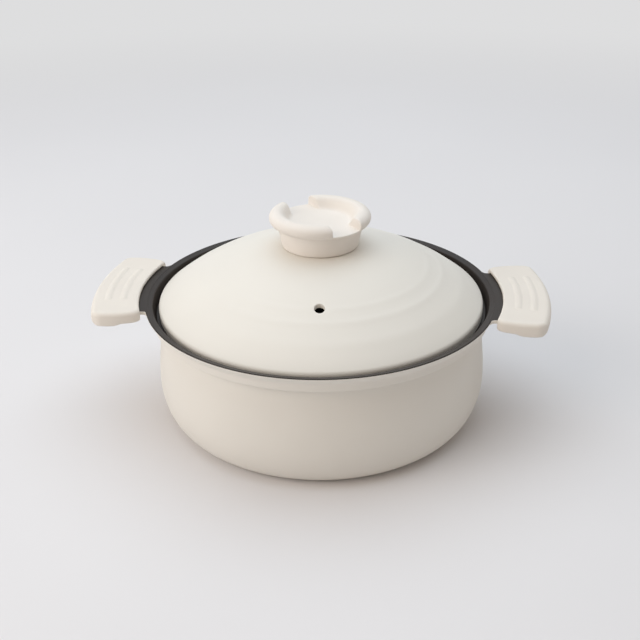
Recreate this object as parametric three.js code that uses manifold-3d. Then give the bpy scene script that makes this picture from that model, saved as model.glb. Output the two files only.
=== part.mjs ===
// Tabletop hot pot: a round-bellied body with two side lugs, a domed lid that sits inside the
// flared rim, a split-ring knob and a soft slip-on grip over each lug.
// Millimetres, +Z up. The origin is on the table under the pot's axis, and the lugs lie along X.
import * as THREE from 'three';
import { mergeVertices, toCreasedNormals } from 'three/addons/utils/BufferGeometryUtils.js';
import Module from 'manifold-3d';

// Clearances
const fitGap = 0.3; // between a piece and what it sits on or goes into
const faceGap = 0.1; // between the flat faces of the screw's stack

// Pot body, radii stepping in from the rim
const rimRadius = 130;
const rimHeight = 94; // table to the top of the rim
const rimRound = 0.9; // rounding of the rim's outer edge
const rimLand = 3.2; // width of the flat top of the rim
const rimDish = 2.2; // drop from the land's inner edge to the start of the flared wall
const bandFlare = 5; // how far the flared band leans out from its lower edge to the rim
const bandDrop = 11.8; // rim top to the band's lower edge
const bandWall = 2.6; // thickness between the lid seat's outer corner and the band's lower edge
const bandRound = 0.9; // easing of the band's lower edge and of the neck below it
const seatWidth = 3.8; // ledge that carries the lid
const seatDrop = 9.2; // rim top to the ledge
const seatFlare = 2; // lean of the flared wall above the ledge
const neckDrop = 15; // rim top to the neck, the narrowest part outside
const bodyWall = 3.2;
const bellySwell = 1.9; // how far the belly stands out past the neck
const bellyHeight = 42;
const bellyCarry = 24; // how far up the belly's fullness carries
const neckEase = 6; // how far down the neck starts to widen
const cornerReach = 21.5; // how far the round bottom corner reaches in from the belly
const floorThickness = 4.6;
const baseLand = 17; // flat ring between the induction plate and the bottom corner

// Induction plate
const plateThickness = 1;
const plateHole = 3.2; // radius of a hole
const plateRingPitch = 20; // spacing of the rings of holes
const plateRings = 3;
const plateHolesPerRing = 6; // the first ring has this many, each ring outside it as many more

// Lugs, cast with the rim
const lugHalfWidth = 40.6;
const lugLength = 27; // rim edge to the lug's tip
const lugThickness = 2.6;
const lugCorner = 12;
const lugRootFillet = 3;

// Grips
const gripSetback = 4.2; // rim edge to the grip's mouth
const gripEnd = 11.2; // material beyond the lug's tip
const gripSide = 11.1; // material beside the lug
const gripTop = 2.7; // wall above the pocket
const gripMouthFloor = 2.5; // wall below the pocket at the mouth
const gripLipDepth = 7.1; // lug top to the bottom of the outer lip
const gripLipWidth = 23;
const gripLipEase = 10; // length over which the underside eases down to the lip
const gripLipRound = 4;
const gripCorner = 10; // plan corners at the outer end
const gripBow = 65; // radius of the sides, which draw in towards the mouth
const gripMouthCorner = 10; // plan corners at the mouth
const gripEdge = 3; // rounding along the top of the sides
const gripTipEdge = 4; // rounding along the top of the outer end
const gripMouthEdge = 1.2;
const ribInset = 11; // mouth to the middle of the first rib
const ribPitch = 11.2;
const ribCount = 2;
const ribWidth = 5.6;
const ribHeight = 0.6;
const ribHalfAngle = 10; // degrees each side of the lug's middle

// Lid
const lidPlay = 2.4; // radial play inside the seat
const lidThickness = 3;
const lidLip = 5.5; // ledge to the widest circle of the lid
const lidEdge = 3; // rounding over the lid's edge
const lidLipRound = 1; // easing of the lower edge
const domeRise = 44.4; // widest circle to the top of the dome
const lidLandRadius = 10; // flat on the top of the dome, inside and out, for the knob and its screw
const steamHole = 3.6;
const steamHoleReach = 77.6;
const steamHoleAngle = -86.2;

// Knob
const knobBaseRadius = 28.1;
const knobNeckRadius = 30.8; // wall where the ring starts
const knobNeckHeight = 15.5; // lower edge of the wall to the ring
const knobRingRadius = 36.8;
const knobRingHeight = 20.7; // widest circle of the ring
const knobRingRoll = 3; // how softly the ring rolls out from the wall
const knobCrestRadius = 30.5; // highest circle of the ring
const knobHeight = 25.8;
const knobRingInner = 24.5; // middle of the slope from the crest down to the dish
const knobDishRadius = 20.5;
const knobDishHeight = 17.8;
const knobDishSag = 0.5;
const knobWall = 4;
const knobDishWall = 4.2;
const knobBossRadius = 8.5;
const notchWidth = 23; // the two notches are one straight slot across the ring
const notchAngle = -52.5; // degrees from X to the slot's front end

// Knob fixing
const screwRadius = 2;
const screwPoint = 1; // chamfer at the screw's tip
const screwHeadRadius = 4;
const screwHeadHeight = 2.6;
const screwHeadRound = 1.4;
const screwSlotLength = 4.8;
const screwSlotWidth = 1;
const screwSlotDepth = 1.2;
const insertRadius = 4.2;
const insertLength = 8;
const washerRadius = 6;
const washerThickness = 0.8;
const springWasherRadius = 3.8;
const springWasherThickness = 1;
const springWasherSplit = 0.8;

// Facets
const bodySegments = 60;
const gripSegments = 88;
const knobSegments = 48;
const ribSegments = 20;
const smallSegments = 16;
const holeSegments = 8;
const domeSteps = 10;
const cornerSteps = 7;
const ringSteps = 6;
const lipSteps = 5;
const curveSteps = 4;
const roundSteps = 3;
const mouthSteps = 2;
const creaseAngle = 0.6; // radians

// Derived sizes
const bandRadius = rimRadius - bandFlare;
const seatOuterRadius = bandRadius - bandWall;
const seatInnerRadius = seatOuterRadius - seatWidth;
const seatHeight = rimHeight - seatDrop;
const neckRadius = seatInnerRadius + bodyWall;
const bellyRadius = neckRadius + bellySwell;
const baseRadius = bellyRadius - cornerReach;
const plateRadius = baseRadius - baseLand;
const lugReach = rimRadius + lugLength;
const gripMouthRadius = rimRadius + gripSetback;
const gripReach = lugReach + fitGap + gripEnd;
const gripHalfWidth = lugHalfWidth + fitGap + gripSide;
const gripTopHeight = fitGap + gripTop;
const lidRadius = seatOuterRadius - lidPlay;
const domeTop = lidLip + domeRise;
const domeRadius = ((lidRadius - lidEdge) ** 2 + domeRise ** 2 - lidEdge ** 2) / (2 * (domeRise - lidEdge));
const domeCentre = domeTop - domeRadius;
const holeRadius = screwRadius + fitGap;

const ivoryPaint = new THREE.MeshStandardMaterial({ color: 0xe7e2d6, roughness: 0.6, metalness: 0 });
const ivoryResin = new THREE.MeshStandardMaterial({ color: 0xece7df, roughness: 0.65, metalness: 0 });
const ivorySilicone = new THREE.MeshStandardMaterial({ color: 0xe6e0d8, roughness: 0.75, metalness: 0 });
const steel = new THREE.MeshStandardMaterial({ color: 0xb9bcc0, roughness: 0.35, metalness: 1 });
const brass = new THREE.MeshStandardMaterial({ color: 0xc9a557, roughness: 0.35, metalness: 1 });

const wasm = await Module();
wasm.setup();

function point(x, y) {
  return new THREE.Vector2(x, y);
}

// Points along a round stretch of a profile, angles in degrees. A height other than the radius makes
// it a stretch of an ellipse.
function arc(centreX, centreY, radius, from, to, steps, height = radius) {
  const points = [];
  for (let step = 0; step <= steps; step += 1) {
    const angle = THREE.MathUtils.degToRad(THREE.MathUtils.lerp(from, to, step / steps));
    points.push(point(centreX + radius * Math.cos(angle), centreY + height * Math.sin(angle)));
  }
  return points;
}

function bezier(start, leave, arrive, end, steps) {
  return new THREE.CubicBezierCurve(start, leave, arrive, end).getPoints(steps);
}

// A closed solid from a three.js geometry
function solid(geometry) {
  geometry.deleteAttribute('normal');
  geometry.deleteAttribute('uv');
  const merged = mergeVertices(geometry);
  const corners = merged.index.array;
  const triangles = [];
  for (let i = 0; i < corners.length; i += 3) {
    const [a, b, c] = corners.slice(i, i + 3);
    if (a !== b && b !== c && c !== a) triangles.push(a, b, c);
  }
  return new wasm.Manifold(new wasm.Mesh({
    numProp: 3,
    vertProperties: merged.attributes.position.array,
    triVerts: Uint32Array.from(triangles),
  }));
}

// Turns a profile of radius and height about Z. The profile runs counter-clockwise.
function revolve(profile, segments) {
  return solid(new THREE.LatheGeometry(profile, segments).rotateX(Math.PI / 2));
}

function extrude(shape, bottom, top, bevel = 0) {
  const geometry = new THREE.ExtrudeGeometry(shape, {
    depth: top - bottom - 2 * bevel,
    curveSegments: lipSteps,
    bevelEnabled: bevel > 0,
    bevelThickness: bevel,
    bevelSize: bevel,
    bevelOffset: -bevel,
    bevelSegments: roundSteps,
  });
  return solid(geometry.translate(0, 0, bottom + bevel));
}

function cylinder(radius, bottom, top, x = 0, y = 0, segments = smallSegments) {
  const geometry = new THREE.CylinderGeometry(radius, radius, top - bottom, segments);
  return solid(geometry.rotateX(Math.PI / 2).translate(x, y, (bottom + top) / 2));
}

function ring(outer, inner, bottom, top, segments = smallSegments) {
  const profile = [
    point(inner, bottom),
    point(outer, bottom),
    point(outer, top),
    point(inner, top),
    point(inner, bottom),
  ];
  return revolve(profile, segments);
}

function mesh(name, body, material) {
  const { vertProperties, triVerts } = body.getMesh();
  const geometry = new THREE.BufferGeometry();
  geometry.setAttribute('position', new THREE.BufferAttribute(vertProperties, 3));
  geometry.setIndex(new THREE.BufferAttribute(triVerts, 1));
  const piece = new THREE.Mesh(toCreasedNormals(geometry, creaseAngle), material.clone());
  piece.name = name;
  return piece;
}

// Half outline of a tongue along X with straight sides and a tip that follows a circle about the axis
function tongueTip(halfWidth, reach, corner) {
  const cornerX = Math.sqrt((reach - corner) ** 2 - (halfWidth - corner) ** 2);
  const tipAngle = Math.atan2(halfWidth - corner, cornerX);
  return { cornerX, cornerY: halfWidth - corner, tipAngle };
}

function tongue(halfWidth, reach, corner, start) {
  const { cornerX, cornerY, tipAngle } = tongueTip(halfWidth, reach, corner);
  const shape = new THREE.Shape();
  shape.moveTo(start, -halfWidth);
  shape.lineTo(cornerX, -halfWidth);
  shape.absarc(cornerX, -cornerY, corner, -Math.PI / 2, -tipAngle, false);
  shape.absarc(0, 0, reach, -tipAngle, tipAngle, false);
  shape.absarc(cornerX, cornerY, corner, tipAngle, Math.PI / 2, false);
  shape.lineTo(start, halfWidth);
  return shape;
}

// The lug's outline, with a fillet at each side where it leaves the rim
function lugOutline() {
  const rootX = Math.sqrt((rimRadius + lugRootFillet) ** 2 - (lugHalfWidth + lugRootFillet) ** 2);
  const rootAngle = Math.atan2(lugHalfWidth + lugRootFillet, rootX);
  const { cornerX, cornerY, tipAngle } = tongueTip(lugHalfWidth, lugReach, lugCorner);
  const shape = new THREE.Shape();
  const rootRadius = rimRadius - rimLand / 2;
  shape.absarc(0, 0, rootRadius, rootAngle, -rootAngle, true);
  shape.absarc(rootX, -lugHalfWidth - lugRootFillet, lugRootFillet, Math.PI - rootAngle, Math.PI / 2, true);
  shape.absarc(cornerX, -cornerY, lugCorner, -Math.PI / 2, -tipAngle, false);
  shape.absarc(0, 0, lugReach, -tipAngle, tipAngle, false);
  shape.absarc(cornerX, cornerY, lugCorner, tipAngle, Math.PI / 2, false);
  shape.absarc(rootX, lugHalfWidth + lugRootFillet, lugRootFillet, -Math.PI / 2, rootAngle - Math.PI, true);
  return shape;
}

// Round bottom corner from the flat base to the belly, as a quarter of an ellipse
function bottomCorner(radius, bottom, steps) {
  return arc(radius - cornerReach, bellyHeight, cornerReach, -90, 0, steps, bellyHeight - bottom);
}

function makePotBody() {
  const neckHeight = rimHeight - neckDrop;
  const bandHeight = rimHeight - bandDrop;
  const recessRadius = plateRadius + fitGap;
  const recessHeight = plateThickness + faceGap;
  const outside = [
    point(0, recessHeight),
    point(recessRadius, recessHeight),
    point(recessRadius, 0),
    ...bottomCorner(bellyRadius, 0, cornerSteps),
    ...bezier(
      point(bellyRadius, bellyHeight),
      point(bellyRadius, bellyHeight + bellyCarry),
      point(neckRadius + bellySwell / 2, neckHeight - neckEase),
      point(neckRadius, neckHeight),
      curveSteps,
    ).slice(1),
    point(neckRadius + bandRound, (neckHeight + bandHeight) / 2),
    point(bandRadius - bandRound, bandHeight),
    point(bandRadius, bandHeight + bandRound),
    ...arc(rimRadius - rimRound, rimHeight - rimRound, rimRound, 0, 90, roundSteps),
  ];
  const inside = [
    point(rimRadius - rimLand, rimHeight),
    point(seatOuterRadius + seatFlare, rimHeight - rimDish),
    point(seatOuterRadius + fitGap, seatHeight + fitGap),
    point(seatOuterRadius, seatHeight),
    point(seatInnerRadius + rimRound, seatHeight),
    point(seatInnerRadius, seatHeight - rimRound),
    ...bezier(
      point(neckRadius - bodyWall, neckHeight),
      point(neckRadius - bodyWall + bellySwell / 2, neckHeight - neckEase),
      point(bellyRadius - bodyWall, bellyHeight + bellyCarry),
      point(bellyRadius - bodyWall, bellyHeight),
      roundSteps,
    ),
    ...bottomCorner(bellyRadius - bodyWall, floorThickness, curveSteps).reverse().slice(1),
    point(0, floorThickness),
  ];
  const shell = revolve([...outside, ...inside], bodySegments);
  const lug = extrude(lugOutline(), rimHeight - lugThickness, rimHeight);
  return shell.add(lug).add(lug.rotate([0, 0, 180]));
}

function makeInductionPlate() {
  let plate = cylinder(plateRadius, 0, plateThickness, 0, 0, bodySegments);
  for (let row = 1; row <= plateRings; row += 1) {
    const count = row * plateHolesPerRing;
    for (let i = 0; i < count; i += 1) {
      const angle = (2 * Math.PI * i) / count;
      const x = row * plateRingPitch * Math.cos(angle);
      const y = row * plateRingPitch * Math.sin(angle);
      plate = plate.subtract(cylinder(plateHole, -fitGap, plateThickness + fitGap, x, y, holeSegments));
    }
  }
  return plate;
}

// A raised rib with round ends: the upper half of a capsule, bent about the pot's axis and sunk so
// that only its back shows
function makeRib(radius) {
  const tube = ribWidth ** 2 / (8 * ribHeight) + ribHeight / 2;
  const length = 2 * radius * THREE.MathUtils.degToRad(ribHalfAngle);
  const geometry = new THREE.CapsuleGeometry(tube, length, lipSteps, ribSegments, ringSteps);
  const place = geometry.attributes.position;
  for (let i = 0; i < place.count; i += 1) {
    const reach = radius + place.getX(i);
    const angle = place.getY(i) / radius;
    const height = gripTopHeight + ribHeight - tube + Math.max(place.getZ(i), 0);
    place.setXYZ(i, reach * Math.cos(angle), reach * Math.sin(angle), height);
  }
  return solid(geometry);
}

// The grip's outline: bowed sides, rounded corners and a tip that follows a circle about the axis.
// Its inner end lies inside the mouth, which the turned block cuts.
function gripOutline() {
  const tip = gripReach + fitGap;
  const inner = gripMouthRadius - gripEdge;
  const { cornerX, cornerY, tipAngle } = tongueTip(gripHalfWidth, tip, gripCorner);
  const bowY = gripBow - gripHalfWidth;
  const bowReach = Math.hypot(cornerX, bowY);
  const mouthReach = inner + gripMouthCorner;
  const along = (mouthReach ** 2 + bowReach ** 2 - (gripBow - gripMouthCorner) ** 2) / (2 * bowReach);
  const mouthAngle = Math.acos(along / mouthReach) - Math.atan2(bowY, cornerX);
  const mouthX = mouthReach * Math.cos(mouthAngle);
  const mouthY = mouthReach * Math.sin(mouthAngle);
  const bowAngle = Math.atan2(mouthY + bowY, mouthX - cornerX);
  const shape = new THREE.Shape();
  shape.absarc(0, 0, inner, mouthAngle, -mouthAngle, true);
  shape.absarc(mouthX, -mouthY, gripMouthCorner, Math.PI - mouthAngle, -bowAngle, false);
  shape.absarc(cornerX, bowY, gripBow, -bowAngle, -Math.PI / 2, false);
  shape.absarc(cornerX, -cornerY, gripCorner, -Math.PI / 2, -tipAngle, false);
  shape.absarc(0, 0, tip, -tipAngle, tipAngle, false);
  shape.absarc(cornerX, cornerY, gripCorner, tipAngle, Math.PI / 2, false);
  shape.absarc(cornerX, -bowY, gripBow, Math.PI / 2, bowAngle, false);
  shape.absarc(mouthX, mouthY, gripMouthCorner, bowAngle, Math.PI + mouthAngle, false);
  return shape;
}

// Heights here are measured from the lug's top
function makeGrip() {
  const mouthBottom = -lugThickness - fitGap - gripMouthFloor;
  const lipBottom = -gripLipDepth;
  const mouthCentre = gripMouthRadius + gripMouthEdge;
  const lipStart = gripReach - gripLipWidth;
  const section = [
    ...arc(mouthCentre, mouthBottom + gripMouthEdge, gripMouthEdge, 180, 270, mouthSteps),
    ...bezier(
      point(lipStart, mouthBottom),
      point(lipStart + gripLipEase / 2, mouthBottom),
      point(lipStart + gripLipEase / 2, lipBottom),
      point(lipStart + gripLipEase, lipBottom),
      curveSteps,
    ),
    ...arc(gripReach - gripLipRound, lipBottom + gripLipRound, gripLipRound, -90, 0, roundSteps),
    ...arc(gripReach - gripTipEdge, gripTopHeight - gripTipEdge, gripTipEdge, 0, 90, roundSteps),
    ...arc(mouthCentre, gripTopHeight - gripMouthEdge, gripMouthEdge, 90, 180, mouthSteps),
  ];
  section.push(section[0].clone());
  const block = revolve(section, gripSegments);
  let grip = block.intersect(extrude(gripOutline(), lipBottom - gripEdge, gripTopHeight, gripEdge));
  for (let i = 0; i < ribCount; i += 1) {
    grip = grip.add(makeRib(gripMouthRadius + ribInset + i * ribPitch));
  }
  const pocket = tongue(lugHalfWidth + fitGap, lugReach + fitGap, lugCorner, rimRadius / 2);
  return grip.subtract(extrude(pocket, -lugThickness - fitGap, fitGap));
}

// Heights here are measured from the lid's lower edge
function makeLid() {
  const innerRadius = lidRadius - lidThickness;
  const innerDome = domeRadius - lidThickness;
  const outerStart = THREE.MathUtils.radToDeg(Math.asin((lidRadius - lidEdge) / (domeRadius - lidEdge)));
  const innerStart = THREE.MathUtils.radToDeg(Math.asin(innerRadius / innerDome));
  const outerEnd = THREE.MathUtils.radToDeg(Math.asin(lidLandRadius / domeRadius));
  const innerEnd = THREE.MathUtils.radToDeg(Math.asin(lidLandRadius / innerDome));
  const landHeight = domeCentre + Math.sqrt(domeRadius ** 2 - lidLandRadius ** 2);
  const landUnder = domeCentre + Math.sqrt(innerDome ** 2 - lidLandRadius ** 2);
  const profile = [
    point(holeRadius, landUnder),
    ...arc(0, domeCentre, innerDome, 90 - innerEnd, 90 - innerStart, lipSteps),
    point(innerRadius, lidLipRound),
    point(innerRadius + lidLipRound, 0),
    point(lidRadius - lidLipRound, 0),
    point(lidRadius, lidLipRound),
    ...arc(lidRadius - lidEdge, lidLip, lidEdge, 0, 90 - outerStart, roundSteps),
    ...arc(0, domeCentre, domeRadius, 90 - outerStart, 90 - outerEnd, domeSteps).slice(1),
    point(holeRadius, landHeight),
    point(holeRadius, landUnder),
  ];
  const angle = THREE.MathUtils.degToRad(steamHoleAngle);
  const x = steamHoleReach * Math.cos(angle);
  const y = steamHoleReach * Math.sin(angle);
  const hole = cylinder(steamHole, 0, domeTop, x, y);
  return { body: revolve(profile, bodySegments).subtract(hole), landHeight, landUnder };
}

function domeHeightAt(radius) {
  return domeCentre + Math.sqrt(domeRadius ** 2 - radius ** 2);
}

// The straight slot across the knob's ring, from the dish up
function makeNotches() {
  const slot = new THREE.BoxGeometry(4 * knobRingRadius, notchWidth, 2 * knobHeight);
  slot.rotateZ(THREE.MathUtils.degToRad(notchAngle));
  return solid(slot.translate(0, 0, knobDishHeight + knobHeight));
}

// Heights here are measured from the knob's lower edge. bossBottom is where the boss meets the lid.
function makeKnob(bossBottom) {
  const cavityTop = knobDishHeight - knobDishWall;
  const innerRadius = knobBaseRadius - knobWall;
  const seatStep = domeHeightAt(innerRadius) - domeHeightAt(knobBaseRadius);
  const ringReach = knobRingRadius - knobCrestRadius;
  const ringRise = knobHeight - knobRingHeight;
  const profile = [
    point(0, bossBottom),
    point(knobBossRadius, bossBottom),
    point(knobBossRadius, cavityTop),
    point(innerRadius, cavityTop),
    point(innerRadius, seatStep),
    point(knobBaseRadius, 0),
    ...bezier(
      point(knobNeckRadius, knobNeckHeight),
      point(knobNeckRadius + knobRingRoll, knobNeckHeight),
      point(knobRingRadius, knobRingHeight - knobRingRoll),
      point(knobRingRadius, knobRingHeight),
      curveSteps,
    ),
    ...arc(knobCrestRadius, knobRingHeight, ringReach, 0, 90, lipSteps, ringRise).slice(1),
    ...bezier(
      point(knobCrestRadius, knobHeight),
      point(knobRingInner, knobHeight),
      point(knobRingInner, knobDishHeight),
      point(knobDishRadius, knobDishHeight),
      ringSteps,
    ).slice(1),
    point(0, knobDishHeight - knobDishSag),
  ];
  const socket = cylinder(insertRadius + fitGap, bossBottom - fitGap, bossBottom + insertLength + fitGap);
  return revolve(profile, knobSegments).subtract(makeNotches()).subtract(socket);
}

// Pan-head screw with a cross recess, its head downwards. Height 0 is the bearing face of the head.
function makeKnobScrew(length) {
  const headCentre = screwHeadRadius - screwHeadRound;
  const profile = [
    point(0, -screwHeadHeight),
    ...arc(headCentre, screwHeadRound - screwHeadHeight, screwHeadRound, -90, 0, roundSteps),
    point(screwHeadRadius, 0),
    point(screwRadius, 0),
    point(screwRadius, length - screwPoint),
    point(screwRadius - screwPoint, length),
    point(0, length),
  ];
  let screw = revolve(profile, smallSegments);
  const sizes = [[screwSlotLength, screwSlotWidth], [screwSlotWidth, screwSlotLength]];
  sizes.forEach(([slotX, slotY]) => {
    const slot = new THREE.BoxGeometry(slotX, slotY, 2 * screwSlotDepth);
    screw = screw.subtract(solid(slot.translate(0, 0, -screwHeadHeight)));
  });
  return screw;
}

function makeSpringWasher() {
  const washer = ring(springWasherRadius, holeRadius, 0, springWasherThickness);
  const cut = new THREE.BoxGeometry(springWasherRadius * 2, springWasherSplit, springWasherThickness * 3);
  return washer.subtract(solid(cut.translate(springWasherRadius, 0, 0)));
}

const pot = new THREE.Group();
pot.add(mesh('pot_body', makePotBody(), ivoryPaint));
pot.add(mesh('induction_plate', makeInductionPlate(), steel));

const gripBody = makeGrip();
['right_grip', 'left_grip'].forEach((name, side) => {
  const holder = new THREE.Group();
  holder.rotation.z = side * Math.PI;
  holder.position.z = rimHeight;
  holder.add(mesh(name, gripBody, ivorySilicone));
  pot.add(holder);
});

const lidSet = new THREE.Group();
lidSet.position.z = seatHeight + fitGap;
const lid = makeLid();
lidSet.add(mesh('lid', lid.body, ivoryPaint));

const knobSet = new THREE.Group();
knobSet.position.z = domeHeightAt(knobBaseRadius) + fitGap;
const bossBottom = lid.landHeight + fitGap - knobSet.position.z;
knobSet.add(mesh('knob', makeKnob(bossBottom), ivoryResin));
const insert = ring(insertRadius, holeRadius, bossBottom, bossBottom + insertLength);
knobSet.add(mesh('knob_insert', insert, brass));
lidSet.add(knobSet);

const fixing = new THREE.Group();
fixing.position.z = lid.landUnder - faceGap;
const washer = mesh('knob_washer', ring(washerRadius, holeRadius, 0, washerThickness), steel);
washer.position.z = -washerThickness;
const springWasher = mesh('knob_spring_washer', makeSpringWasher(), steel);
springWasher.position.z = washer.position.z - faceGap - springWasherThickness;
const screwSeat = springWasher.position.z - faceGap;
const insertTop = knobSet.position.z + bossBottom + insertLength;
const screw = mesh('knob_screw', makeKnobScrew(insertTop - fixing.position.z - screwSeat), steel);
screw.position.z = screwSeat;
fixing.add(washer, springWasher, screw);
lidSet.add(fixing);
pot.add(lidSet);

export default pot;
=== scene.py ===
import math

import bmesh
import bpy
from mathutils import Matrix, Vector
from mathutils.geometry import interpolate_bezier


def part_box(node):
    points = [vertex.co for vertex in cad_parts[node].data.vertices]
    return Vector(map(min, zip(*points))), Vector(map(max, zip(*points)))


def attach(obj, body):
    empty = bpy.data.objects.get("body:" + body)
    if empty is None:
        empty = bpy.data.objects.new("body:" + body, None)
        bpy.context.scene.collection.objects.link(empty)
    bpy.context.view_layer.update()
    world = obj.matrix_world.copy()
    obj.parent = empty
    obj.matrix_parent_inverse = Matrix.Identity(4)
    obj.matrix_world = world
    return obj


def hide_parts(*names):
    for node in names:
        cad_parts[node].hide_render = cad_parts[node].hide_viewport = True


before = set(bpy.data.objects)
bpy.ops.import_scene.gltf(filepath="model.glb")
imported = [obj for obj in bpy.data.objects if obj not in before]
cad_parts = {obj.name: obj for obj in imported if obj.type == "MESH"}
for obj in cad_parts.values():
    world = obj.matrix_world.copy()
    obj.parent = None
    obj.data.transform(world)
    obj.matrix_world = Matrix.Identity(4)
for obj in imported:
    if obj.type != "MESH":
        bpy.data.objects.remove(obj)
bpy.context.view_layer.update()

mm = 0.001  # sizes below are millimetres, Blender works in metres
mergeGap = 1e-6  # metres
smoothShare = 0.5  # how far each smoothing pass moves a point towards its neighbours


# Profiles are lists of (radius, height), outlines lists of (x, y)

def arcPoints(x, y, radius, start, end, steps, height=None):  # with a height, of an ellipse
    angles = [math.radians(start + (end - start) * i / steps) for i in range(steps + 1)]
    return [(x + radius * math.cos(a), y + (height or radius) * math.sin(a)) for a in angles]


def curvePoints(start, leave, arrive, end, steps):
    knots = [Vector((x, y, 0)) for x, y in (start, leave, arrive, end)]
    return [(p.x, p.y) for p in interpolate_bezier(*knots, steps + 1)]


# Spun in a mesh of its own, because the operator slows down as its mesh grows
def turnProfile(bm, points, steps, start=0, sweep=360, finish=0):
    turned = bmesh.new()
    facing = Matrix.Rotation(math.radians(start), 3, "Z")
    verts = [turned.verts.new(facing @ Vector((r, 0, z)) * mm) for r, z in points]
    edges = [turned.edges.new(pair) for pair in zip(verts, verts[1:])]
    bmesh.ops.spin(turned, geom=verts + edges, cent=(0, 0, 0), axis=(0, 0, 1),
                   angle=math.radians(sweep), steps=steps, use_merge=sweep == 360)
    for face in turned.faces:
        face.material_index = finish
    mesh = bpy.data.meshes.new("turned")
    turned.to_mesh(mesh)
    turned.free()
    bm.from_mesh(mesh)
    bpy.data.meshes.remove(mesh)


def extrudeUp(bm, faces, height):
    grown = bmesh.ops.extrude_face_region(bm, geom=faces)["geom"]
    upper = [item for item in grown if isinstance(item, bmesh.types.BMVert)]
    bmesh.ops.translate(bm, verts=upper, vec=(0, 0, height))


def raiseOutline(bm, outline, bottom, top):
    verts = [bm.verts.new(Vector((x, y, bottom)) * mm) for x, y in outline]
    extrudeUp(bm, [bm.faces.new(verts)], (top - bottom) * mm)


def levelEdges(bm):
    return [e for e in bm.edges if abs(e.verts[0].co.z - e.verts[1].co.z) < mergeGap]


def roundEdges(bm, edges, radius, segments):
    bmesh.ops.bevel(bm, geom=edges, offset=radius * mm, offset_type="OFFSET", affect="EDGES",
                    segments=segments, profile=0.5, material=-1, clamp_overlap=True)


def cleanMesh(bm, capEnds=False):
    bmesh.ops.remove_doubles(bm, verts=bm.verts, dist=mergeGap)
    if capEnds:
        bmesh.ops.holes_fill(bm, edges=bm.edges, sides=0)
    bmesh.ops.recalc_face_normals(bm, faces=bm.faces)


def makeObject(name, bm, finishes=()):
    mesh = bpy.data.meshes.new(name)
    bm.to_mesh(mesh)
    bm.free()
    for finish in finishes:
        mesh.materials.append(finish)
    piece = bpy.data.objects.new(name, mesh)
    bpy.context.collection.objects.link(piece)
    return piece


def makeBlock(name, middle, size, turn=0):
    bm = bmesh.new()
    place = Matrix.Translation(Vector(middle) * mm) @ Matrix.Rotation(math.radians(turn), 4, "Z")
    bmesh.ops.create_cube(bm, size=mm, matrix=place @ Matrix.Diagonal((*size, 1)))
    return makeObject(name, bm)


def joinShapes(piece, operation, tool):
    modifier = piece.modifiers.new(operation.lower(), "BOOLEAN")
    modifier.operation = operation
    modifier.solver = "MANIFOLD"
    modifier.object = tool


def addCells(piece, size, softening):
    cells = piece.modifiers.new("cells", "REMESH")
    cells.mode = "VOXEL"
    cells.voxel_size = size * mm
    soften = piece.modifiers.new("soften", "SMOOTH")
    soften.factor = smoothShare
    soften.iterations = softening


def settleShape(piece, tools=()):
    graph = bpy.context.evaluated_depsgraph_get()
    mesh = bpy.data.meshes.new_from_object(piece.evaluated_get(graph))
    piece.modifiers.clear()
    piece.data = mesh
    for tool in tools:
        bpy.data.objects.remove(tool)


def smoothShade(piece, sharpAngle=40):
    piece.data.shade_smooth()
    piece.data.set_sharp_from_angle(angle=math.radians(sharpAngle))
    normals = piece.modifiers.new("evenNormals", "WEIGHTED_NORMAL")
    normals.keep_sharp = True


def seat(piece, body, node):
    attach(piece, body)
    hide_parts(node)
    print("made", piece.name, len(piece.data.polygons), "faces")


# Finishes

def addNode(tree, kind, values=None, **settings):
    node = tree.nodes.new(kind)
    for name, value in settings.items():
        setattr(node, name, value)
    for name, value in (values or {}).items():
        node.inputs[name].default_value = value
    return node


noiseDetail = {"Grain": 3, "Cloud": 2, "Rings": 4}


def makeGrainGroup():
    group = bpy.data.node_groups.new("moulded grain", "ShaderNodeTree")
    for name, way, kind in (("Vector", "INPUT", "Vector"), ("Grain", "INPUT", "Float"),
                            ("Cloud", "INPUT", "Float"), ("Height", "OUTPUT", "Float"),
                            ("Mottle", "OUTPUT", "Float")):
        group.interface.new_socket(name, in_out=way, socket_type="NodeSocket" + kind)
    source, result = addNode(group, "NodeGroupInput"), addNode(group, "NodeGroupOutput")
    for scale, out in (("Grain", "Height"), ("Cloud", "Mottle")):
        noise = addNode(group, "ShaderNodeTexNoise", {"Detail": noiseDetail[scale]})
        group.links.new(source.outputs["Vector"], noise.inputs["Vector"])
        group.links.new(source.outputs[scale], noise.inputs["Scale"])
        group.links.new(noise.outputs["Fac"], result.inputs[out])
    return group


grainGroup = makeGrainGroup()
mottleRange = (0.35, 0.65)  # most of a noise lies between these


def newFinish(name):
    material = bpy.data.materials.new(name)
    material.use_nodes = True
    tree = material.node_tree
    return material, tree, addNode(tree, "ShaderNodeTexCoord").outputs["Object"]


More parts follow.
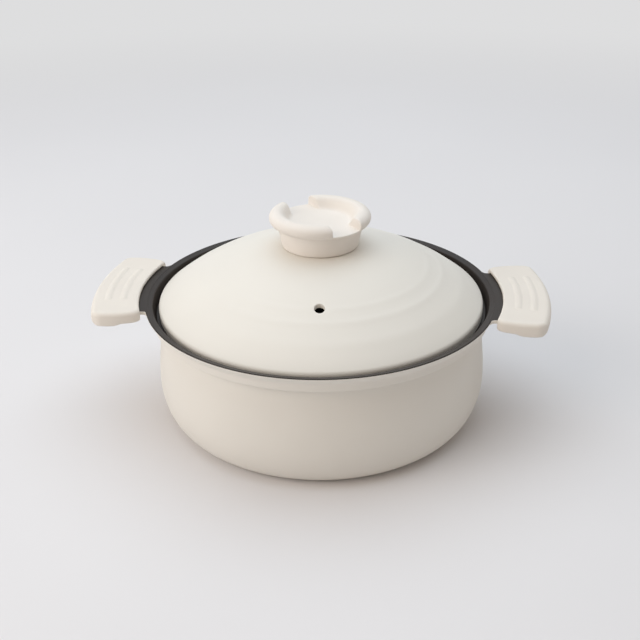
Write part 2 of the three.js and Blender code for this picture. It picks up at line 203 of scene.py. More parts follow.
# Colour, roughness and bump of a surface from one mask and one height
def feedShader(tree, look, mask, height):
    shader = tree.nodes["Principled BSDF"]
    colour = addNode(tree, "ShaderNodeValToRGB")
    spread = addNode(tree, "ShaderNodeMapRange", {
        "From Min": mottleRange[0], "From Max": mottleRange[1],
        "To Min": look["roughness"] - look["wander"], "To Max": look["roughness"] + look["wander"]})
    bump = addNode(tree, "ShaderNodeBump", {
        "Distance": look["depth"] * mm, "Strength": look["strength"]})
    shades = (look["deep"], look["pale"])
    for stop, where, shade in zip(colour.color_ramp.elements, mottleRange, shades):
        stop.position = where
        stop.color = (*shade, 1)
    tree.links.new(mask, colour.inputs["Fac"])
    tree.links.new(mask, spread.inputs["Value"])
    tree.links.new(height, bump.inputs["Height"])
    tree.links.new(colour.outputs["Color"], shader.inputs["Base Color"])
    tree.links.new(spread.outputs["Result"], shader.inputs["Roughness"])
    tree.links.new(bump.outputs["Normal"], shader.inputs["Normal"])
    return shader


def makeMatte(name, look):
    material, tree, place = newFinish(name)
    grain = addNode(tree, "ShaderNodeGroup", {"Grain": look["grain"], "Cloud": look["cloud"]},
                    node_tree=grainGroup)
    tree.links.new(place, grain.inputs["Vector"])
    shader = feedShader(tree, look, grain.outputs["Mottle"], grain.outputs["Height"])
    shader.inputs["Specular IOR Level"].default_value = look["gloss"]
    return material


def makeTurnedMetal(name, look):
    material, tree, place = newFinish(name)
    level = addNode(tree, "ShaderNodeVectorMath", operation="MULTIPLY")
    level.inputs[1].default_value = (1, 1, 0)
    reach = addNode(tree, "ShaderNodeVectorMath", operation="LENGTH")
    rings = addNode(tree, "ShaderNodeTexNoise", {
        "Scale": look["rings"], "Detail": noiseDetail["Rings"]}, noise_dimensions="1D")
    tree.links.new(place, level.inputs[0])
    tree.links.new(level.outputs["Vector"], reach.inputs[0])
    tree.links.new(reach.outputs["Value"], rings.inputs["W"])
    shader = feedShader(tree, look, rings.outputs["Fac"], rings.outputs["Fac"])
    shader.inputs["Metallic"].default_value = 1
    return material


paintLook = {
    "pale": (0.797, 0.763, 0.70),
    "deep": (0.782, 0.748, 0.686),
    "roughness": 0.52,
    "wander": 0.04,
    "gloss": 0.4,
    "grain": 1400,
    "cloud": 18,
    "depth": 0.03,
    "strength": 0.25,
}
resinLook = {
    "pale": (0.836, 0.783, 0.724),
    "deep": (0.818, 0.764, 0.704),
    "roughness": 0.6,
    "wander": 0.04,
    "gloss": 0.35,
    "grain": 2200,
    "cloud": 40,
    "depth": 0.02,
    "strength": 0.2,
}
siliconeLook = {
    "pale": (0.797, 0.745, 0.677),
    "deep": (0.78, 0.727, 0.66),
    "roughness": 0.68,
    "wander": 0.05,
    "gloss": 0.3,
    "grain": 1800,
    "cloud": 30,
    "depth": 0.03,
    "strength": 0.25,
}
coatLook = {
    "pale": (0.031, 0.024, 0.02),
    "deep": (0.025, 0.0195, 0.0165),
    "roughness": 0.38,
    "wander": 0.05,
    "gloss": 0.18,
    "grain": 1600,
    "cloud": 60,
    "depth": 0.05,
    "strength": 0.5,
}
steelLook = {
    "pale": (0.66, 0.66, 0.67),
    "deep": (0.54, 0.54, 0.55),
    "roughness": 0.34,
    "wander": 0.07,
    "rings": 2600,
    "depth": 0.02,
    "strength": 0.4,
}
aluminiumLook = dict(steelLook, pale=(0.80, 0.80, 0.81), deep=(0.70, 0.70, 0.71), roughness=0.42)
brassLook = dict(steelLook, pale=(0.75, 0.58, 0.28), deep=(0.62, 0.46, 0.20), roughness=0.3)
ivoryPaint = makeMatte("ivory baked paint", paintLook)
ivoryResin = makeMatte("ivory resin", resinLook)
ivorySilicone = makeMatte("ivory silicone", siliconeLook)
charcoalCoat = makeMatte("charcoal non-stick coat", coatLook)
steelFinish = makeTurnedMetal("turned steel", steelLook)
aluminiumFinish = makeTurnedMetal("bare aluminium", aluminiumLook)
brassFinish = makeTurnedMetal("turned brass", brassLook)
print("finishes ready")


# Pot body

potSizes = {
    "rimRound": 0.9,
    "paintEdge": 25,  # degrees up the rim's rounding where the paint ends and the coat starts
    "rimLand": 3.2,
    "landLean": 17,  # degrees that the land falls inwards
    "rimDish": 2.2,  # drop from the land to the start of the seat's wall
    "landEase": 1.2,
    "bandFlare": 5,
    "bandDrop": 12.5,  # rim top to the band's lower edge
    "bandWall": 2.6,
    "bandRound": 0.9,
    "bandBow": 2.2,  # how far the flare bows in
    "seatWidth": 5.4,
    "seatDrop": 9.2,
    "seatFlare": 2,
    "seatRound": 0.6,
    "neckDrop": 15,
    "bodyWall": 2.6,
    "bellySwell": 3.5,
    "bellyHeight": 33.6,
    "bellyCarry": 16.6,
    "neckEase": 25.6,
    "cornerReach": 20.4,
    "floor": 4.6,
    "recessRadius": 85.5,
    "recessDepth": 1.1,
    "segments": 192,
    "curveSteps": 20,
    "flareSteps": 12,
    "edgeSteps": 6,
}
lugSizes = {
    "halfWidth": 40.6,
    "thickness": 2.6,
    "corner": 12,
    "rootFillet": 3,
    "sunk": 1.8,  # how far the root goes into the rim
    "edge": 0.8,
    "edgeSteps": 4,
    "cornerSteps": 14,
    "sideSteps": 24,
}
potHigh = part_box("pot_body")[1] / mm
rimRadius, rimHeight, lugReach = potHigh.y, potHigh.z, potHigh.x
lugTop = 0.9  # least upward part of the normal of a face on a lug's top


def bottomCorner(radius, bottom, s):
    middle, reach = s["bellyHeight"], s["cornerReach"]
    return arcPoints(radius - reach, middle, reach, -90, 0, s["curveSteps"], middle - bottom)


def potProfiles(s):
    band = rimRadius - s["bandFlare"]
    bandHeight = rimHeight - s["bandDrop"]
    seatOuter = band - s["bandWall"]
    seatInner = seatOuter - s["seatWidth"]
    seatHeight = rimHeight - s["seatDrop"]
    neck = seatInner + s["bodyWall"]
    neckHeight = rimHeight - s["neckDrop"]
    belly = neck + s["bellySwell"]
    bellyIn = belly - s["bodyWall"]
    middle, easeHeight = s["bellyHeight"], neckHeight - s["neckEase"]
    bandEdge, soft, turn = s["bandRound"], s["seatRound"], s["rimRound"]
    few, many = s["edgeSteps"], s["curveSteps"]
    flareStart = (band, bandHeight + bandEdge)
    flareEnd = (rimRadius, rimHeight - turn)
    flareMiddle = ((band + rimRadius) / 2 - s["bandBow"], (bandHeight + rimHeight) / 2)
    outside = [
        (s["recessRadius"], 0),
        *bottomCorner(belly, 0, s),
        *curvePoints((belly, middle), (belly, middle + s["bellyCarry"]),
                     (neck + s["bellySwell"] / 2, easeHeight), (neck, neckHeight), many)[1:],
        *curvePoints((neck, neckHeight), (neck, bandHeight - bandEdge), (neck + bandEdge, bandHeight),
                     (band - bandEdge, bandHeight), few)[1:],
        *arcPoints(band - bandEdge, bandHeight + bandEdge, bandEdge, -90, 0, few)[1:],
        *curvePoints(flareStart, flareMiddle, flareMiddle, flareEnd, s["flareSteps"])[1:],
        *arcPoints(rimRadius - turn, rimHeight - turn, turn, 0, s["paintEdge"], few)[1:],
    ]
    dish = (seatOuter + s["seatFlare"], rimHeight - s["rimDish"])
    land, ease = rimRadius - s["rimLand"], s["landEase"]
    fall = math.tan(math.radians(s["landLean"]))
    landHeight = rimHeight - (rimRadius - turn - land) * fall
    inside = [
        *arcPoints(rimRadius - turn, rimHeight - turn, turn, s["paintEdge"], 90 + s["landLean"], few),
        *curvePoints((land, landHeight), (land - ease, landHeight - ease * fall),
                     (dish[0], dish[1] + ease), dish, few),
        (seatOuter + soft / 2, seatHeight + 2 * soft),
        *arcPoints(seatOuter - soft, seatHeight + soft, soft, 0, -90, few),
        *arcPoints(seatInner + soft, seatHeight - soft, soft, 90, 180, few),
        *curvePoints((seatInner, neckHeight), (seatInner + s["bellySwell"] / 2, easeHeight),
                     (bellyIn, middle + s["bellyCarry"]), (bellyIn, middle), many),
        *reversed(bottomCorner(bellyIn, s["floor"], s)[:-1]),
        (bellyIn / 2, s["floor"]),
        (0, s["floor"]),
    ]
    recess = [(0, s["recessDepth"]), (s["recessRadius"], s["recessDepth"]), (s["recessRadius"], 0)]
    return outside, inside, recess


def tongueTip(half, reach, corner):
    tipX = math.sqrt((reach - corner) ** 2 - (half - corner) ** 2)
    return tipX, math.degrees(math.atan2(half - corner, tipX))


def tipOutline(half, reach, corner, cornerSteps, sideSteps):
    tipX, tipAngle = tongueTip(half, reach, corner)
    return [
        *arcPoints(tipX, corner - half, corner, -90, -tipAngle, cornerSteps),
        *arcPoints(0, 0, reach, -tipAngle, tipAngle, sideSteps)[1:],
        *arcPoints(tipX, half - corner, corner, tipAngle, 90, cornerSteps)[1:],
    ]


def lugOutline(s):
    half, fillet, steps = s["halfWidth"], s["rootFillet"], s["cornerSteps"]
    rootX = math.sqrt((rimRadius + fillet) ** 2 - (half + fillet) ** 2)
    rootAngle = math.degrees(math.atan2(half + fillet, rootX))
    return [
        *arcPoints(0, 0, rimRadius - s["sunk"], rootAngle, -rootAngle, s["sideSteps"]),
        *arcPoints(rootX, -half - fillet, fillet, 180 - rootAngle, 90, steps),
        *tipOutline(half, lugReach, s["corner"], steps, s["sideSteps"]),
        *arcPoints(rootX, half + fillet, fillet, -90, rootAngle - 180, steps),
    ]


def makePot():
    finishes = (ivoryPaint, charcoalCoat, aluminiumFinish)  # outside, inside and recess
    bm = bmesh.new()
    for finish, profile in enumerate(potProfiles(potSizes)):
        turnProfile(bm, profile, potSizes["segments"], finish=finish)
    cleanMesh(bm)
    pot = makeObject("potShell", bm, finishes)

    bm = bmesh.new()  # one lug, and then its twin
    raiseOutline(bm, lugOutline(lugSizes), rimHeight - lugSizes["thickness"], rimHeight)
    roundEdges(bm, levelEdges(bm), lugSizes["edge"], lugSizes["edgeSteps"])
    for face in bm.faces:  # coat on top and at the root, paint round the edge and below
        spot = face.calc_center_median() / mm
        atRoot = spot.xy.length < rimRadius and spot.z > rimHeight - lugSizes["edge"]
        coated = face.normal.z > lugTop or atRoot
        face.material_index = finishes.index(charcoalCoat if coated else ivoryPaint)
    lug = bm.verts[:] + bm.edges[:] + bm.faces[:]
    bmesh.ops.spin(bm, geom=lug, cent=(0, 0, 0), axis=(0, 0, 1), angle=math.pi, steps=1,
                   use_duplicate=True)
    cleanMesh(bm)
    lugs = makeObject("lugs", bm, finishes)
    joinShapes(pot, "UNION", lugs)
    settleShape(pot, [lugs])
    smoothShade(pot)
    seat(pot, "pot", "pot_body")


makePot()


# Base plate, set flush in the underside

plateSizes = {
    "hole": 3.2,  # radius
    "pitch": 20,
    "rings": 3,
    "perRing": 6,
    "segments": 180,
    "holeSegments": 28,
}


def makePlate(s):
    low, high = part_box("induction_plate")
    bm = bmesh.new()
    bmesh.ops.create_circle(bm, segments=s["segments"], radius=high.x)
    for row in range(1, s["rings"] + 1):
        count = row * s["perRing"]
        outwards = Matrix.Translation((row * s["pitch"] * mm, 0, 0))
        for i in range(count):
            spot = Matrix.Rotation(2 * math.pi * i / count, 4, "Z") @ outwards
            bmesh.ops.create_circle(bm, segments=s["holeSegments"], radius=s["hole"] * mm, matrix=spot)
    bmesh.ops.triangle_fill(bm, use_beauty=True, edges=bm.edges[:])
    extrudeUp(bm, bm.faces[:], high.z - low.z)
    cleanMesh(bm)
    plate = makeObject("basePlate", bm, [steelFinish])
    smoothShade(plate)
    seat(plate, "pot", "induction_plate")


makePlate(plateSizes)


# Lid

lidSizes = {
    "domeRadius": 189.03,
    "thickness": 3,
    "edge": 4,  # rounding over the outer edge
    "lipRound": 0.9,
    "land": 10,  # flat for the knob and its screw
    "screwHole": 2.3,  # radius, as is the next
    "steamHole": 3.6,
    "steamReach": 77.6,
    "steamAngle": -86.2,
    "steamRound": 0.5,
    "segments": 192,
    "domeSteps": 110,
    "hollowSteps": 48,
    "edgeSteps": 12,
    "lipSteps": 5,
    "holeSegments": 40,
}
# wheel marks: radius, half width and height of each ridge
wheelMarks = ((79, 2.3, 0.24), (89.5, 2.5, 0.32), (104, 4, 0.3))
wheelFade = {"strongest": -25, "least": 0.35}  # degrees round the lid, share on the other side
domeTop = 0.2  # least upward part of the normal of a point on the dome's top
lidLow, lidHigh = (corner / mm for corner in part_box("lid"))
domeCentre = lidHigh.z - math.sqrt(lidSizes["domeRadius"] ** 2 - lidSizes["land"] ** 2)


def domeHeight(radius, reach):
    return domeCentre + math.sqrt(radius ** 2 - reach ** 2)


def markHeight(reach, angle):
    near = 0.5 + 0.5 * math.cos(angle - math.radians(wheelFade["strongest"]))
    share = wheelFade["least"] + (1 - wheelFade["least"]) * near
    ridges = [height * math.exp(-((reach - mid) / width) ** 2) for mid, width, height in wheelMarks]
    return share * sum(ridges)


def lidProfile(s):
    outer, inner = s["domeRadius"], s["domeRadius"] - s["thickness"]
    radius, edge, lip = lidHigh.x, s["edge"], s["lipRound"]
    wall = radius - s["thickness"]
    turn = radius - edge
    edgeHeight = domeCentre + math.sqrt((outer - edge) ** 2 - turn ** 2)
    lean = math.degrees(math.acos(turn / (outer - edge)))
    innerLean = math.degrees(math.acos(wall / inner))
    innerLand = math.degrees(math.acos(s["land"] / inner))
    outerLand = math.degrees(math.acos(s["land"] / outer))
    points = [
        (s["screwHole"], domeHeight(inner, s["land"])),
        *arcPoints(0, domeCentre, inner, innerLand, innerLean, s["hollowSteps"]),
        *arcPoints(wall + lip, lidLow.z + lip, lip, 180, 270, s["lipSteps"]),
        *arcPoints(radius - lip, lidLow.z + lip, lip, 270, 360, s["lipSteps"]),
        *arcPoints(turn, edgeHeight, edge, 0, lean, s["edgeSteps"]),
        *arcPoints(0, domeCentre, outer, lean, outerLand, s["domeSteps"])[1:],
        (s["screwHole"], domeHeight(outer, s["land"])),
    ]
    return points + points[:1]


def openSteamHole(bm, s):
    outwards = Vector((s["steamReach"] * mm, 0, 0))
    spot = Matrix.Rotation(math.radians(s["steamAngle"]), 3, "Z") @ outwards
    clearing = 2 * s["steamHole"] * mm  # new faces fill it, round the hole
    away = [f for f in bm.faces if (f.calc_center_median() - spot).xy.length < clearing]
    bmesh.ops.delete(bm, geom=away, context="FACES")
    torn = [e for e in bm.edges if e.is_boundary]
    halfway = s["domeRadius"] - s["thickness"] / 2
    rims = []
    for shell in (s["domeRadius"], s["domeRadius"] - s["thickness"]):
        circle = bmesh.ops.create_circle(bm, segments=s["holeSegments"], radius=s["steamHole"] * mm,
                                         matrix=Matrix.Translation(spot))["verts"]
        for vert in circle:
            vert.co.z = domeHeight(shell, vert.co.xy.length / mm) * mm
        rim = list({e for v in circle for e in v.link_edges})
        patch = []
        for edge in torn:
            corner = edge.verts[0].co / mm
            if (corner.z > domeHeight(halfway, corner.xy.length)) == (shell > halfway):
                patch.append(edge)
        bmesh.ops.bridge_loops(bm, edges=patch + rim)
        rims.append(rim)
    bmesh.ops.bridge_loops(bm, edges=rims[0] + rims[1])
    bmesh.ops.recalc_face_normals(bm, faces=bm.faces)
    roundEdges(bm, rims[0] + rims[1], s["steamRound"], s["lipSteps"])


def makeLid(s):
    bm = bmesh.new()
    turnProfile(bm, lidProfile(s), s["segments"])
    cleanMesh(bm)
    for vert in bm.verts:
        reach = vert.co.xy.length / mm
        if vert.normal.z > domeTop and reach > s["land"]:
            vert.co.z += markHeight(reach, math.atan2(vert.co.y, vert.co.x)) * mm
    openSteamHole(bm, s)
    lid = makeObject("lidShell", bm, [ivoryPaint])
    smoothShade(lid)
    seat(lid, "lid", "lid")


makeLid(lidSizes)


# Knob, a dish inside a thick ring that one straight slot cuts into two

knobSizes = {
    "base": 28.1,
    "baseEdge": 0.5,
    "neck": 30.8,  # wall where the ring starts
    "neckHeight": 15.5,
    "ringHeight": 20.7,  # widest circle of the ring
    "ringRoll": 3,  # how softly the ring rolls out from the wall
    "crest": 30.5,
    "slope": 24.5,  # middle of the slope from the crest to the dish
    "dish": 20.5,
    "dishHeight": 17.8,
    "dishSag": 0.5,
    "wall": 4,
    "dishWall": 4.2,
    "boss": 8.5,
    "bossBottom": 1.84,
    "socket": 4.5,
    "socketDepth": 8.3,
    "seatStep": 1.0,
    "slot": 23,
    "slotAngle": -52.5,
    "segments": 180,
    "ringSteps": 20,
    "cells": 0.5,  # size of the mesh's cells
    "softening": 4,
    "endReach": 4,  # how far the ring's ends are softened
    "endSoftening": 16,
}


def knobProfile(s, radius, top):
    dish, crest, many = s["dishHeight"], s["crest"], s["ringSteps"]
    cavity = dish - s["dishWall"]
    inner = s["base"] - s["wall"]
    socketTop = s["bossBottom"] + s["socketDepth"]
    return [
        (0, socketTop),
        (s["socket"], socketTop),
        (s["socket"], s["bossBottom"]),
        (s["boss"], s["bossBottom"]),
        (s["boss"], cavity),
        (inner, cavity),
        (inner, s["seatStep"]),
        (s["base"] - s["baseEdge"], 0),
        (s["base"], s["baseEdge"]),
        *curvePoints((s["neck"], s["neckHeight"]), (s["neck"] + s["ringRoll"], s["neckHeight"]),
                     (radius, s["ringHeight"] - s["ringRoll"]), (radius, s["ringHeight"]), many),
        *arcPoints(crest, s["ringHeight"], radius - crest, 0, 90, many, top - s["ringHeight"])[1:],
        *curvePoints((crest, top), (s["slope"], top), (s["slope"], dish), (s["dish"], dish), many)[1:],
        (s["dish"] / 2, dish - s["dishSag"] * 3 / 4),  # as on a parabola
        (0, dish - s["dishSag"]),
    ]


def softenEnds(knob, s, base):
    bm = bmesh.new()
    bm.from_mesh(knob.data)
    across = Matrix.Rotation(math.radians(s["slotAngle"]), 3, "Z") @ Vector((0, 1, 0))
    near = []
    for vert in bm.verts:
        wall = abs(vert.co.dot(across)) / mm - s["slot"] / 2
        if abs(wall) < s["endReach"] and vert.co.z / mm > base + s["dishHeight"] + s["cells"]:
            near.append(vert)
    for _ in range(s["endSoftening"]):
        bmesh.ops.smooth_vert(bm, verts=near, factor=smoothShare,
                              use_axis_x=True, use_axis_y=True, use_axis_z=True)
    bm.to_mesh(knob.data)
    bm.free()


def makeKnob(s):
    low, high = (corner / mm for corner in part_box("knob"))
    bm = bmesh.new()
    profile = [(r, z + low.z) for r, z in knobProfile(s, high.x, high.z - low.z)]
    turnProfile(bm, profile, s["segments"])
    cleanMesh(bm)
    knob = makeObject("knobCap", bm, [ivoryResin])
    floor = low.z + s["dishHeight"]
    slotSize = (4 * high.x, s["slot"], 2 * (high.z - floor))  # past both ends and the top
    slot = makeBlock("knobSlot", (0, 0, high.z), slotSize, s["slotAngle"])
    joinShapes(knob, "DIFFERENCE", slot)
    addCells(knob, s["cells"], s["softening"])
    settleShape(knob, [slot])
    softenEnds(knob, s, low.z)
    knob.data.shade_smooth()
    seat(knob, "lid", "knob")


makeKnob(knobSizes)


# Knob fixing under the lid

fixingSizes = {
    "hole": 2.3,  # radius, as is the next
    "shank": 2,
    "headHeight": 2.6,
    "headRound": 1.4,
    "point": 1,
    "recessLength": 4.8,
    "recessWidth": 1,
    "recessDepth": 1.2,
    "split": 0.8,  # gap in the spring washer
    "edge": 0.12,
    "edgeSteps": 3,
    "headSteps": 9,
    "sharpAngle": 30,  # degrees between faces that meet in a corner
    "segments": 72,
}


def makeScrew(s):
    low, high = (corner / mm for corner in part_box("knob_screw"))
    bearing = low.z + s["headHeight"]
    turn = s["headRound"]
    bm = bmesh.new()
    turnProfile(bm, [
        (0, low.z),
        *arcPoints(high.x - turn, low.z + turn, turn, -90, 0, s["headSteps"]),
        (high.x, bearing),
        (s["shank"], bearing),
        (s["shank"], high.z - s["point"]),
        (s["shank"] - s["point"], high.z),
        (0, high.z),
    ], s["segments"])
    cleanMesh(bm)
    screw = makeObject("knobScrew", bm, [steelFinish])
    armSize = (s["recessLength"], s["recessWidth"], 2 * s["recessDepth"])
    arms = []
    for turned in (0, 90):  # a cross recess
        arm = makeBlock("recessArm", (0, 0, low.z), armSize, turned)
        joinShapes(screw, "DIFFERENCE", arm)
        arms.append(arm)
    settleShape(screw, arms)
    smoothShade(screw, s["sharpAngle"])
    seat(screw, "lid", "knob_screw")


def makeWasher(name, node, s, split):
    low, high = (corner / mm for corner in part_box(node))
    inner, outer = s["hole"], high.y
    gap = math.degrees(split / outer)
    section = [(inner, low.z), (outer, low.z), (outer, high.z), (inner, high.z), (inner, low.z)]
    bm = bmesh.new()
    turnProfile(bm, section, s["segments"], gap / 2, 360 - gap)
    cleanMesh(bm, capEnds=True)
    sharp = [e for e in bm.edges if e.calc_face_angle(0) > math.radians(s["sharpAngle"])]
    roundEdges(bm, sharp, s["edge"], s["edgeSteps"])
    washer = makeObject(name, bm, [steelFinish])
    smoothShade(washer, s["sharpAngle"])
    seat(washer, "lid", node)


makeScrew(fixingSizes)
makeWasher("flatWasher", "knob_washer", fixingSizes, 0)
makeWasher("springWasher", "knob_spring_washer", fixingSizes, fixingSizes["split"])
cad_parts["knob_insert"].material_slots[0].material = brassFinish  # the bush keeps its solid


# Grips

gripSizes = {
    "setback": 4.2,  # rim edge to the mouth
    "lugGap": 0.3,
    "side": 11.1,  # material beside the lug
    "top": 2.7,
    "mouthFloor": 2.5,
    "lipDepth": 7.1,
    "lipWidth": 23,
    "lipEase": 10,  # length over which the underside eases down to the lip
    "lipRound": 4,
    "corner": 10,
    "bow": 65,  # radius of the sides, which draw in towards the mouth
    "mouthCorner": 10,
    "edge": 3,  # rounding along the top of the sides
    "tipEdge": 4,
    "mouthEdge": 1.2,
    "segments": 90,
    "edgeSteps": 8,
    "cornerSteps": 16,
    "sideSteps": 40,
    "cells": 0.45,  # size of the mesh's cells
    "softening": 6,
}
ribSizes = {
    "inset": 11,  # mouth to the middle of the first rib
    "pitch": 11.2,
    "count": 2,
    "width": 5.6,
    "height": 0.6,
    "halfAngle": 10,
    "soft": 1.3,  # over 1 eases the rib's foot
}
gripTop = 0.8  # least upward part of the normal of a point on a grip's top


# Bowed sides, rounded corners and a tip that follows a circle about the pot's axis. The inner end lies
# inside the mouth, which the turned block cuts.
def gripOutline(s, half, mouth, reach):
    inner, bow, corner = mouth - s["edge"], s["bow"], s["mouthCorner"]
    tipX, _ = tongueTip(half, reach, s["corner"])
    bowY = bow - half
    bowReach = math.hypot(tipX, bowY)
    cornerReach = inner + corner
    along = (cornerReach ** 2 + bowReach ** 2 - (bow - corner) ** 2) / (2 * bowReach)
    angle = math.acos(along / cornerReach) - math.atan2(bowY, tipX)
    x, y = cornerReach * math.cos(angle), cornerReach * math.sin(angle)
    lean = math.degrees(math.atan2(y + bowY, x - tipX))
    turn = math.degrees(angle)
    few, many = s["cornerSteps"], s["sideSteps"]
    return [
        *arcPoints(0, 0, inner, turn, -turn, many),
        *arcPoints(x, -y, corner, 180 - turn, 360 - lean, few)[1:],
        *arcPoints(tipX, bowY, bow, -lean, -90, few)[1:],
        *tipOutline(half, reach, s["corner"], few, many)[1:],
        *arcPoints(tipX, -bowY, bow, 90, lean, few)[1:],
        *arcPoints(x, y, corner, lean, 180 + turn, few)[1:-1],
    ]


def gripSection(s, mouth, reach, top):
    mouthBottom = rimHeight - lugSizes["thickness"] - s["lugGap"] - s["mouthFloor"]
    lipBottom, lipStart = rimHeight - s["lipDepth"], reach - s["lipWidth"]
    lipMiddle, lipEnd = lipStart + s["lipEase"] / 2, lipStart + s["lipEase"]
    turn, mouthEdge, tipEdge = mouth + s["mouthEdge"], s["mouthEdge"], s["tipEdge"]
    lipRound, steps = s["lipRound"], s["edgeSteps"]
    points = [
        *arcPoints(turn, mouthBottom + mouthEdge, mouthEdge, 180, 270, steps),
        *curvePoints((lipStart, mouthBottom), (lipMiddle, mouthBottom),
                     (lipMiddle, lipBottom), (lipEnd, lipBottom), steps),
        *arcPoints(reach - lipRound, lipBottom + lipRound, lipRound, -90, 0, steps),
        *arcPoints(reach - tipEdge, top - tipEdge, tipEdge, 0, 90, steps),
        *arcPoints(turn, top - mouthEdge, mouthEdge, 90, 180, steps),
    ]
    return points + points[:1]


def raiseRibs(grip, r, mouth, top):
    bm = bmesh.new()
    bm.from_mesh(grip.data)
    for vert in bm.verts:
        spot = vert.co / mm
        if spot.z < top - r["height"] / 2 or vert.normal.z < gripTop:
            continue
        reach, angle = spot.xy.length, abs(math.atan2(spot.y, spot.x))
        for i in range(r["count"]):
            radius = mouth + r["inset"] + i * r["pitch"]
            beyond = max(0, angle - math.radians(r["halfAngle"])) * radius
            share = math.hypot(reach - radius, beyond) / (r["width"] / 2)
            if share < 1:
                vert.co.z += r["height"] * (1 - share ** 2) ** r["soft"] * mm
    bm.to_mesh(grip.data)
    bm.free()


def makeGrips(s):
    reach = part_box("right_grip")[1].x / mm
    mouth, pocketHalf = rimRadius + s["setback"], lugSizes["halfWidth"] + s["lugGap"]
    half = pocketHalf + s["side"]
    top = rimHeight + s["lugGap"] + s["top"]
    span = 2 * math.degrees(math.asin(half / mouth))
    bm = bmesh.new()  # the sleeve's section, turned about the pot's axis
    turnProfile(bm, gripSection(s, mouth, reach, top), s["segments"], -span / 2, span)
    cleanMesh(bm, capEnds=True)
    grip = makeObject("rightGripSleeve", bm)

    bm = bmesh.new()  # what is kept of it, seen from above
    outline = gripOutline(s, half, mouth, reach + s["lugGap"])
    raiseOutline(bm, outline, rimHeight - s["lipDepth"] - s["edge"], top)
    roundEdges(bm, levelEdges(bm), s["edge"], s["edgeSteps"])
    cleanMesh(bm)
    block = makeObject("gripBlock", bm)

    bm = bmesh.new()  # room for the lug
    pocket = tipOutline(pocketHalf, lugReach + s["lugGap"], lugSizes["corner"],
                        s["cornerSteps"], s["sideSteps"])
    pocket += [(rimRadius / 2, pocketHalf), (rimRadius / 2, -pocketHalf)]
    raiseOutline(bm, pocket, rimHeight - lugSizes["thickness"] - s["lugGap"], rimHeight + s["lugGap"])
    cleanMesh(bm)
    hollow = makeObject("gripPocket", bm)

    joinShapes(grip, "INTERSECT", block)
    joinShapes(grip, "DIFFERENCE", hollow)
    addCells(grip, s["cells"], s["softening"])
    settleShape(grip, [block, hollow])
    raiseRibs(grip, ribSizes, mouth, top)
    grip.data.materials.clear()
    grip.data.materials.append(ivorySilicone)

    other = bpy.data.objects.new("leftGripSleeve", grip.data.copy())
    other.data.transform(Matrix.Rotation(math.pi, 4, "Z"))
    bpy.context.collection.objects.link(other)
    for piece, name in ((grip, "right_grip"), (other, "left_grip")):
        piece.data.shade_smooth()
        seat(piece, name, name)


makeGrips(gripSizes)


# Stage

stageLook = {
    "size": 12,
    "sky": (1, 0.893, 0.786),
    "skyStrength": 0.36,
    "backdrop": (0.73, 0.73, 0.735),  # what the camera sees beyond the floor
    "fade": (0.7, 1.6),  # metres from the pot over which the floor passes into the backdrop
}
floorLook = {
    "pale": (0.775, 0.76, 0.768),
    "deep": (0.76, 0.745, 0.753),
    "roughness": 0.8,
    "wander": 0.03,
    "gloss": 0.2,
    "grain": 120,
    "cloud": 2,
    "depth": 0.05,
    "strength": 0.1,
}
lamps = {
    "overhead softbox": {"place": (0, 0.45, 1.9), "size": 3, "power": 34, "colour": (0.77, 0.89, 1)},
    "left softbox": {"place": (-1.6, -0.5, 0.65), "size": 1.2, "power": 7.8, "colour": (0.95, 0.97, 1)},
    "front fill": {"place": (-1.15, -1.1, 1.3), "size": 1.4, "power": 9.5, "colour": (1, 0.88, 0.76)},
}
shot = {
    "lens": 56.25,
    "reach": 747,  # from the rim's centre
    "rise": 25.23,  # degrees above the rim
    "turn": 4.5,  # degrees round from square on
    "tilt": 26.85,
    "yaw": 0.07,
    "roll": -0.62,
}


def backdropRays(tree):
    rays = addNode(tree, "ShaderNodeLightPath")
    seen = rays.outputs["Is Camera Ray"]
    for kind in ("Is Glossy Ray", "Is Transmission Ray"):
        either = addNode(tree, "ShaderNodeMath", operation="MAXIMUM")
        tree.links.new(seen, either.inputs[0])
        tree.links.new(rays.outputs[kind], either.inputs[1])
        seen = either.outputs["Value"]
    return seen


def mixShaders(tree, share, first, second, target):
    mix = addNode(tree, "ShaderNodeMixShader")
    tree.links.new(share, mix.inputs["Fac"])
    tree.links.new(first, mix.inputs[1])
    tree.links.new(second, mix.inputs[2])
    tree.links.new(mix.outputs["Shader"], target)


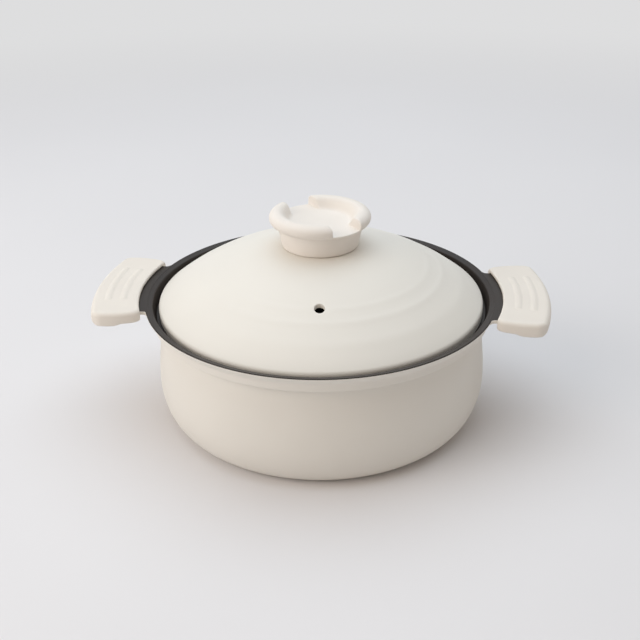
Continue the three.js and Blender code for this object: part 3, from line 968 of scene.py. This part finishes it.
def makeFloor(s):
    finish = makeMatte("pale floor", floorLook)
    tree = finish.node_tree
    reach = addNode(tree, "ShaderNodeVectorMath", operation="LENGTH")
    far = addNode(tree, "ShaderNodeMapRange", {"From Min": s["fade"][0], "From Max": s["fade"][1]},
                  interpolation_type="SMOOTHSTEP")
    share = addNode(tree, "ShaderNodeMath", operation="MULTIPLY")
    backdrop = addNode(tree, "ShaderNodeEmission", {"Color": (*s["backdrop"], 1)})
    tree.links.new(addNode(tree, "ShaderNodeTexCoord").outputs["Object"], reach.inputs[0])
    tree.links.new(reach.outputs["Value"], far.inputs["Value"])
    tree.links.new(far.outputs["Result"], share.inputs[0])
    tree.links.new(backdropRays(tree), share.inputs[1])
    mixShaders(tree, share.outputs["Value"], tree.nodes["Principled BSDF"].outputs["BSDF"],
               backdrop.outputs["Emission"], tree.nodes["Material Output"].inputs["Surface"])
    bm = bmesh.new()
    bmesh.ops.create_grid(bm, x_segments=1, y_segments=1, size=s["size"] / 2)
    makeObject("floor", bm, [finish])


def makeSky(s):
    world = bpy.data.worlds.new("studio")
    world.use_nodes = True
    tree = world.node_tree
    sky = tree.nodes["Background"]
    sky.inputs["Color"].default_value = (*s["sky"], 1)
    sky.inputs["Strength"].default_value = s["skyStrength"]
    backdrop = addNode(tree, "ShaderNodeBackground", {"Color": (*s["backdrop"], 1)})
    mixShaders(tree, backdropRays(tree), sky.outputs["Background"], backdrop.outputs["Background"],
               tree.nodes["World Output"].inputs["Surface"])
    bpy.context.scene.world = world


def makeLamps():
    aim = Vector((0, 0, rimHeight * mm))
    for name, lamp in lamps.items():
        data = bpy.data.lights.new(name, "AREA")
        data.shape = "DISK"
        data.size = lamp["size"]
        data.energy = lamp["power"]
        data.color = lamp["colour"]
        light = bpy.data.objects.new(name, data)
        light.location = lamp["place"]
        light.rotation_euler = (aim - light.location).to_track_quat("-Z", "Y").to_euler()
        bpy.context.collection.objects.link(light)


def makeCamera(s):
    data = bpy.data.cameras.new("camera")
    data.lens = s["lens"]
    camera = bpy.data.objects.new("camera", data)
    rise, turn = math.radians(s["rise"]), math.radians(s["turn"])
    level = s["reach"] * math.cos(rise)
    camera.location = Vector((level * math.sin(turn), -level * math.cos(turn),
                              rimHeight + s["reach"] * math.sin(rise))) * mm
    facing = Matrix.Rotation(turn + math.radians(s["yaw"]), 3, "Z")
    facing @= Matrix.Rotation(math.radians(90 - s["tilt"]), 3, "X")
    facing @= Matrix.Rotation(math.radians(s["roll"]), 3, "Z")
    camera.rotation_euler = facing.to_euler()
    bpy.context.collection.objects.link(camera)
    bpy.context.scene.camera = camera


makeFloor(stageLook)
makeSky(stageLook)
makeLamps()
makeCamera(shot)
bpy.context.scene.view_settings.view_transform = "Standard"
print("stage ready")
